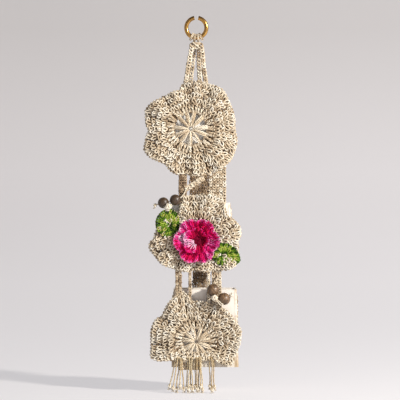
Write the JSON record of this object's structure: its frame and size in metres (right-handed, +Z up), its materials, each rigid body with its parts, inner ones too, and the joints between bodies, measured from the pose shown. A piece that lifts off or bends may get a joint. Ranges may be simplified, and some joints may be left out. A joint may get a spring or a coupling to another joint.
{
  "type": "hanging planter",
  "caption": "Hanging planter in crocheted yarn: an open ring, hanger chains and tiers of lace pockets holding box pots, with a flower, leaves, beaded ties and fringe.",
  "frame": {"origin": "centre of the hanging ring, which holds the whole object up", "axes": "+Z up along the hang line, -Y towards the front of the laces, +X to the right seen from the front"},
  "size_m": [0.1944, 0.1332, 0.7515],
  "materials": {
    "ecru_yarn": "matt, slightly hairy crocheted plant-fibre yarn",
    "tie_yarn": "matt loose yarn",
    "pink_yarn": "variegated crimson to pink yarn",
    "green_yarn": "variegated green yarn with rust flecks",
    "bead_wood": "stained and waxed",
    "pot_white": "satin white, edges rubbed",
    "ring_brass": "polished"
  },
  "bodies": {
    "ring": {"hanging_ring": "ring_brass"},
    "loops": {"ring_loop_outer_left": "ecru_yarn", "ring_loop_inner_left": "ecru_yarn", "ring_loop_inner_right": "ecru_yarn", "ring_loop_outer_right": "ecru_yarn"},
    "upper_tier": {"head_wrap": "ecru_yarn", "hanger_chain_front_left": "ecru_yarn", "hanger_chain_front_right": "ecru_yarn", "hanger_chain_back_left": "ecru_yarn", "hanger_chain_back_right": "ecru_yarn", "upper_front_lace": "ecru_yarn", "upper_back_panel": "ecru_yarn", "upper_side_bands": "ecru_yarn", "upper_base_sling": "ecru_yarn", "upper_neck_left_strap": "ecru_yarn", "upper_neck_right_strap": "ecru_yarn", "upper_neck_diagonal_strap": "ecru_yarn", "upper_neck_back_mesh": "ecru_yarn"},
    "middle_tier": {"middle_front_lace": "ecru_yarn", "middle_back_panel": "ecru_yarn", "middle_side_bands": "ecru_yarn", "middle_base_sling": "ecru_yarn", "flower_outer_petals": "pink_yarn", "flower_inner_petals": "pink_yarn", "flower_centre": "pink_yarn", "left_leaf": "green_yarn", "right_leaf": "green_yarn", "lower_neck_left_strap": "ecru_yarn", "lower_neck_inner_strap": "ecru_yarn", "lower_neck_column_strap": "ecru_yarn", "lower_neck_right_strap": "ecru_yarn", "lower_neck_back_mesh": "ecru_yarn"},
    "lower_tier": {"lower_front_lace": "ecru_yarn", "lower_back_panel": "ecru_yarn", "lower_side_bands": "ecru_yarn", "lower_base_sling": "ecru_yarn"},
    "upper_pot": {"upper_pot": "pot_white"},
    "middle_pot": {"middle_pot": "pot_white"},
    "lower_pot": {"lower_pot": "pot_white"},
    "left_tie": {"left_tie_cord": "tie_yarn", "left_tie_end_knot": "tie_yarn"},
    "right_tie": {"right_tie_cord": "tie_yarn", "right_tie_end_knot": "tie_yarn"},
    "left_bead_inner": {"left_bead_inner": "bead_wood"},
    "left_bead_outer": {"left_bead_outer": "bead_wood"},
    "right_bead_inner": {"right_bead_inner": "bead_wood"},
    "right_bead_outer": {"right_bead_outer": "bead_wood"},
    "fringe_far_left": {"fringe_far_left": "tie_yarn"},
    "fringe_left": {"fringe_left": "tie_yarn"},
    "fringe_middle": {"fringe_middle": "tie_yarn"},
    "fringe_right": {"fringe_right": "tie_yarn"}
  },
  "joints": [
    {"name": "ring_turn", "type": "hinge", "parent": "ring", "child": "loops", "pos_m": [0, 0, 0], "axis": [0, 1, 0], "range_deg": [-130, 130]},
    {"name": "hanger_swing", "type": "hinge", "parent": "loops", "child": "upper_tier", "pos_m": [0, 0, -0.0203], "axis": [1, 0, 0], "range_deg": [-60, 60]},
    {"name": "upper_neck_tilt", "type": "hinge", "parent": "upper_tier", "child": "middle_tier", "pos_m": [0, 0, -0.32], "axis": [1, 0, 0], "range_deg": [-8, 8], "deforming": ["upper_neck_left_strap", "upper_neck_right_strap", "upper_neck_diagonal_strap", "upper_neck_back_mesh"]},
    {"name": "lower_neck_tilt", "type": "hinge", "parent": "middle_tier", "child": "lower_tier", "pos_m": [0, 0, -0.508], "axis": [1, 0, 0], "range_deg": [-8, 8], "deforming": ["lower_neck_left_strap", "lower_neck_inner_strap", "lower_neck_column_strap", "lower_neck_right_strap", "lower_neck_back_mesh"]},
    {"name": "upper_pot_lift", "type": "slide", "parent": "upper_tier", "child": "upper_pot", "axis": [0, 0, 1], "range_m": [0, 0.035]},
    {"name": "middle_pot_lift", "type": "slide", "parent": "middle_tier", "child": "middle_pot", "axis": [0, 0, 1], "range_m": [0, 0.055]},
    {"name": "lower_pot_lift", "type": "slide", "parent": "lower_tier", "child": "lower_pot", "axis": [0, 0, 1], "range_m": [0, 0.025]},
    {"name": "left_tie_lift", "type": "hinge", "parent": "middle_tier", "child": "left_tie", "pos_m": [-0.02, -0.0542, -0.325], "axis": [0, 1, 0], "range_deg": [0, 60]},
    {"name": "right_tie_lift", "type": "hinge", "parent": "lower_tier", "child": "right_tie", "pos_m": [0.043, -0.0542, -0.498], "axis": [0, 1, 0], "range_deg": [-60, 0]},
    {"name": "left_bead_inner_spin", "type": "hinge", "parent": "left_tie", "child": "left_bead_inner", "pos_m": [-0.04176, -0.06487, -0.34744], "axis": [0.962, 0.1749, 0.2099], "continuous": true},
    {"name": "left_bead_outer_spin", "type": "hinge", "parent": "left_tie", "child": "left_bead_outer", "pos_m": [-0.0653, -0.067, -0.3531], "axis": [-0.9671, 0, -0.2545], "continuous": true},
    {"name": "right_bead_inner_spin", "type": "hinge", "parent": "right_tie", "child": "right_bead_inner", "pos_m": [0.03355, -0.06671, -0.5261], "axis": [0.301, 0.2445, 0.9217], "continuous": true},
    {"name": "right_bead_outer_spin", "type": "hinge", "parent": "right_tie", "child": "right_bead_outer", "pos_m": [0.05528, -0.06942, -0.54371], "axis": [-0.8513, -0.0549, -0.5218], "continuous": true},
    {"name": "fringe_far_left_swing", "type": "hinge", "parent": "lower_tier", "child": "fringe_far_left", "pos_m": [0, -0.0545, -0.661], "axis": [1, 0, 0], "range_deg": [-60, 3]},
    {"name": "fringe_left_swing", "type": "hinge", "parent": "lower_tier", "child": "fringe_left", "pos_m": [0, -0.0545, -0.661], "axis": [1, 0, 0], "range_deg": [-60, 3]},
    {"name": "fringe_middle_swing", "type": "hinge", "parent": "lower_tier", "child": "fringe_middle", "pos_m": [0, -0.0545, -0.661], "axis": [1, 0, 0], "range_deg": [-60, 3]},
    {"name": "fringe_right_swing", "type": "hinge", "parent": "lower_tier", "child": "fringe_right", "pos_m": [0, -0.0545, -0.661], "axis": [1, 0, 0], "range_deg": [-60, 3]}
  ]
}
